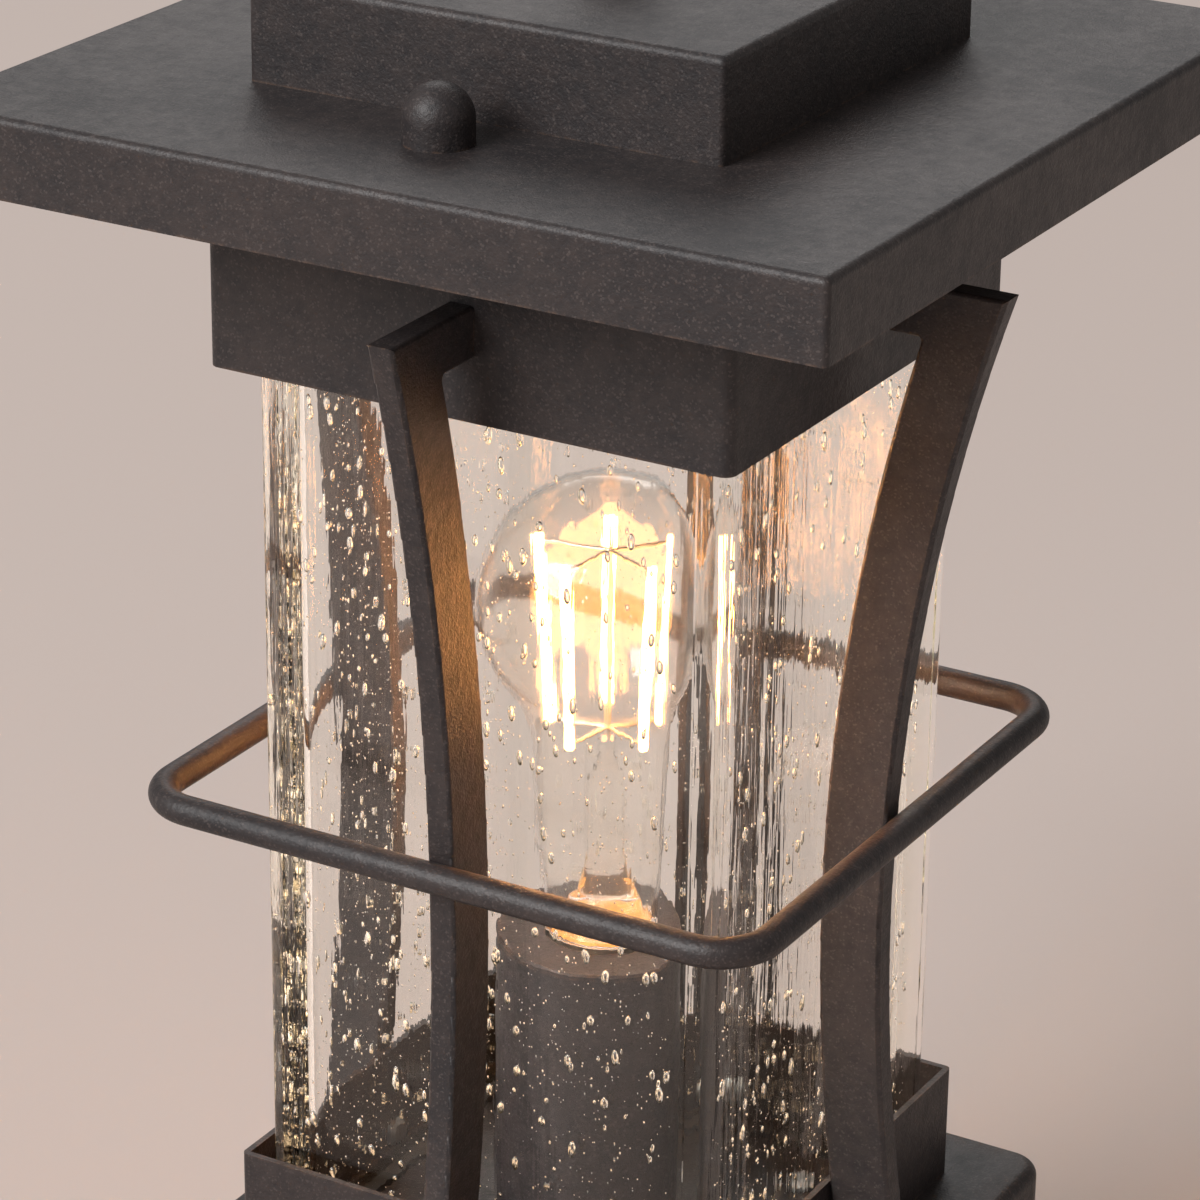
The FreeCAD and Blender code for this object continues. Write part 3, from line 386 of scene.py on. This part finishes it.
# air inside the glass, so its index is the glass's turned over; an emission paints the lamp's glint on the
# rim that the lamp grazes
def makeSeedAirAndPaintedGlint(look):
    material, tree, shader, out, place = newMaterial(look["name"] + "_air")
    tree.nodes.remove(shader)
    air = addNode(tree, "ShaderNodeBsdfGlass", {
        "Color": (1, 1, 1), "Roughness": look["roughness"], "IOR": 1 / 1.5})
    lampward = vectorNode(tree, "SUBTRACT", paintedGlintAroundLamp["middle"], place)[0]
    ahead = vectorNode(tree, "NORMALIZE", lampward)[0]
    facing = addNode(tree, "ShaderNodeTexCoord").outputs["Normal"]
    graze = vectorNode(tree, "DOT_PRODUCT", ahead, facing)["Value"]
    low, high = look["paintedGlintBand"]
    rim = mathNode(tree, "MULTIPLY", ramp(tree, graze, low - paintedGlintAroundLamp["soft"], low),
                   ramp(tree, graze, high + paintedGlintAroundLamp["soft"], high))
    patch = ramp(tree, noise(tree, place, look["paintedGlintPatch"], 2.0, 0.6), 0.40, 0.62)
    near = ramp(tree, vectorNode(tree, "LENGTH", lampward)["Value"], *paintedGlintAroundLamp["reach"])
    mask = mathNode(tree, "MULTIPLY", mathNode(tree, "MULTIPLY", rim, patch),
                    mathNode(tree, "ADD", near, paintedGlintAroundLamp["least"]))
    # painted glint: an emission stands in for the lamp's light caught on the seed's rim
    glow = addNode(tree, "ShaderNodeEmission", {
        "Color": blendColor(tree, mask, (0, 0, 0), look["paintedGlintColor"]), "Strength": look["paintedGlintStrength"]})
    both = addNode(tree, "ShaderNodeAddShader", {0: air.outputs[0], 1: glow.outputs[0]})
    letLampsThrough(tree, both, out)
    return material


def makeSeedShape(subdivisions):
    mesh = bmesh.new()
    bmesh.ops.create_icosphere(mesh, subdivisions=subdivisions, radius=1.0)
    for face in mesh.faces:
        face.smooth = True
    shape = bpy.data.meshes.new("seedShape")
    mesh.to_mesh(shape)
    mesh.free()
    return shape


# one seed's place and form in the right face's wall
def drawSeed(look, chance):
    half = shadeHigh.x - seedPlace["corner"]
    low, high = look["width"]
    wide = low + (high - low) * chance.random() ** look["lean"]
    tall = wide * chance.uniform(*look["stretch"])
    deep = min(wide * seedPlace["flatness"], seedPlace["deepest"])
    depth = chance.uniform(-1, 1) * (seedPlace["wall"] / 2 - deep - seedPlace["skin"])
    spot = Vector((
        shadeHigh.x - seedPlace["wall"] / 2 + depth,
        chance.uniform(-half, half),
        chance.uniform(shadeLow.z + seedPlace["end"], shadeHigh.z - seedPlace["end"])))
    tilt = Matrix.Rotation(chance.uniform(-seedPlace["tilt"], seedPlace["tilt"]), 3, "X")
    return Matrix.LocRotScale(spot, tilt.to_quaternion(), Vector((deep, wide, tall)))


def makeSeeds(look):
    shape = makeSeedShape(look["subdivisions"])
    air = makeSeedAirAndPaintedGlint(look)
    chance = random.Random(look["seed"])
    for side, angle in (("right", 0), ("back", 90), ("left", 180), ("front", 270)):
        mesh = bmesh.new()
        turned = Matrix.Rotation(math.radians(angle), 4, "Z")
        for _ in range(look["perSide"]):
            seed = shape.copy()
            seed.transform(turned @ drawSeed(look, chance))
            mesh.from_mesh(seed)
            bpy.data.meshes.remove(seed)
        data = bpy.data.meshes.new(f"{look['name']}_{side}")
        mesh.to_mesh(data)
        mesh.free()
        seeds = bpy.data.objects.new(f"{look['name']}_{side}", data)
        scene.collection.objects.link(seeds)
        data.materials.append(air)
        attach(seeds, "cage")
    bpy.data.meshes.remove(shape)
    print(look["name"], "made:", 4 * look["perSide"])


makeSeeds(glassBubbles)
makeSeeds(glassGrains)

studio = {
    "floor": (0.60, 0.515, 0.475),
    "floorRadius": 24.0,
    "world": (0.84, 0.79, 0.76),
    "worldLight": 0.30,
    "worldSeen": 0.62,      # strength of the world behind the floor
    "worldInGlass": 0.52,   # and seen through glass
    "fade": (1.3, 3.4),     # m from the lantern: where the floor turns into the backdrop
    "aim": (0, 0, 0.25),
    "lights": (             # name, power, size, place
        ("keyLight", 985.0, 5.5, (-2.9, -6.9, 5.4)),
        ("backLight", 118.0, 4.5, (-3.25, 5.75, 4.9)),
    ),
}


# far out, the seen floor takes the backdrop's light, so that no horizon shows
def makePaleFloor():
    material, tree, shader, out, place = newMaterial("paleFloor")
    setShader(shader, Base_Color=studio["floor"], Roughness=0.9, Specular_IOR_Level=0.0)
    path = addNode(tree, "ShaderNodeLightPath").outputs
    seen = mathNode(tree, "MAXIMUM", path["Is Glossy Ray"], path["Is Transmission Ray"])
    seen = mathNode(tree, "MAXIMUM", path["Is Camera Ray"], seen)
    distance = vectorNode(tree, "LENGTH", place)["Value"]
    far = mathNode(tree, "MULTIPLY", ramp(tree, distance, *studio["fade"]), seen)
    backdrop = addNode(tree, "ShaderNodeEmission", {
        "Color": studio["world"], "Strength": studio["worldSeen"]})
    showMix(tree, out, far, shader, backdrop)
    return material


def makeFloor():
    mesh = bmesh.new()
    bmesh.ops.create_circle(mesh, cap_ends=True, segments=64, radius=studio["floorRadius"])
    data = bpy.data.meshes.new("floor")
    mesh.to_mesh(data)
    mesh.free()
    floor = bpy.data.objects.new("floor", data)
    scene.collection.objects.link(floor)
    data.materials.append(makePaleFloor())


def makeWorld():
    world = bpy.data.worlds.new("studioWorld")
    world.use_nodes = True
    tree = world.node_tree
    path = addNode(tree, "ShaderNodeLightPath").outputs
    crossed = mathNode(tree, "GREATER_THAN", path["Transmission Depth"], 0.5)
    inGlass = mathNode(tree, "MULTIPLY_ADD", crossed,
                       studio["worldInGlass"] - studio["worldLight"], studio["worldLight"])
    seen = mathNode(tree, "MULTIPLY", path["Is Camera Ray"], studio["worldSeen"])
    sky = tree.nodes["Background"]
    feed(tree, sky.inputs["Color"], studio["world"])
    feed(tree, sky.inputs["Strength"], mathNode(tree, "MAXIMUM", seen, inGlass))
    scene.world = world


def makeLights():
    for name, power, size, spot in studio["lights"]:
        light = bpy.data.lights.new(name, "AREA")
        light.energy = power
        light.size = size
        lamp = bpy.data.objects.new(name, light)
        lamp.location = spot
        lamp.rotation_euler = (Vector(studio["aim"]) - Vector(spot)).to_track_quat("-Z", "Y").to_euler()
        scene.collection.objects.link(lamp)


view = {
    "place": (0.46252, -0.81134, 0.64163),
    "turn": -0.5206,        # radians, from the +Y direction towards -X
    "dip": 0.3997,
    "roll": 0.0129,
    "lens": 136.578,
    "sensor": 36.0,
    "clipEnd": 60.0,
}


def makeCamera():
    turn, dip, roll = view["turn"], view["dip"], view["roll"]
    ahead = Vector((math.sin(turn) * math.cos(dip), math.cos(turn) * math.cos(dip), -math.sin(dip)))
    level = Vector((math.cos(turn), -math.sin(turn), 0))
    upright = level.cross(ahead)
    right = level * math.cos(roll) + upright * math.sin(roll)
    up = upright * math.cos(roll) - level * math.sin(roll)
    data = bpy.data.cameras.new("mainCamera")
    data.lens = view["lens"]
    data.sensor_width = view["sensor"]
    data.clip_end = view["clipEnd"]
    camera = bpy.data.objects.new("mainCamera", data)
    facing = Matrix((right, up, -ahead)).transposed()
    camera.matrix_world = Matrix.Translation(view["place"]) @ facing.to_4x4()
    scene.collection.objects.link(camera)
    scene.camera = camera


makeFloor()
makeWorld()
makeLights()
makeCamera()
scene.view_settings.view_transform = "Standard"
scene.cycles.max_bounces = 24             # enough for the lamp behind both walls of the shade
scene.cycles.transmission_bounces = 24
print("studio and camera set")
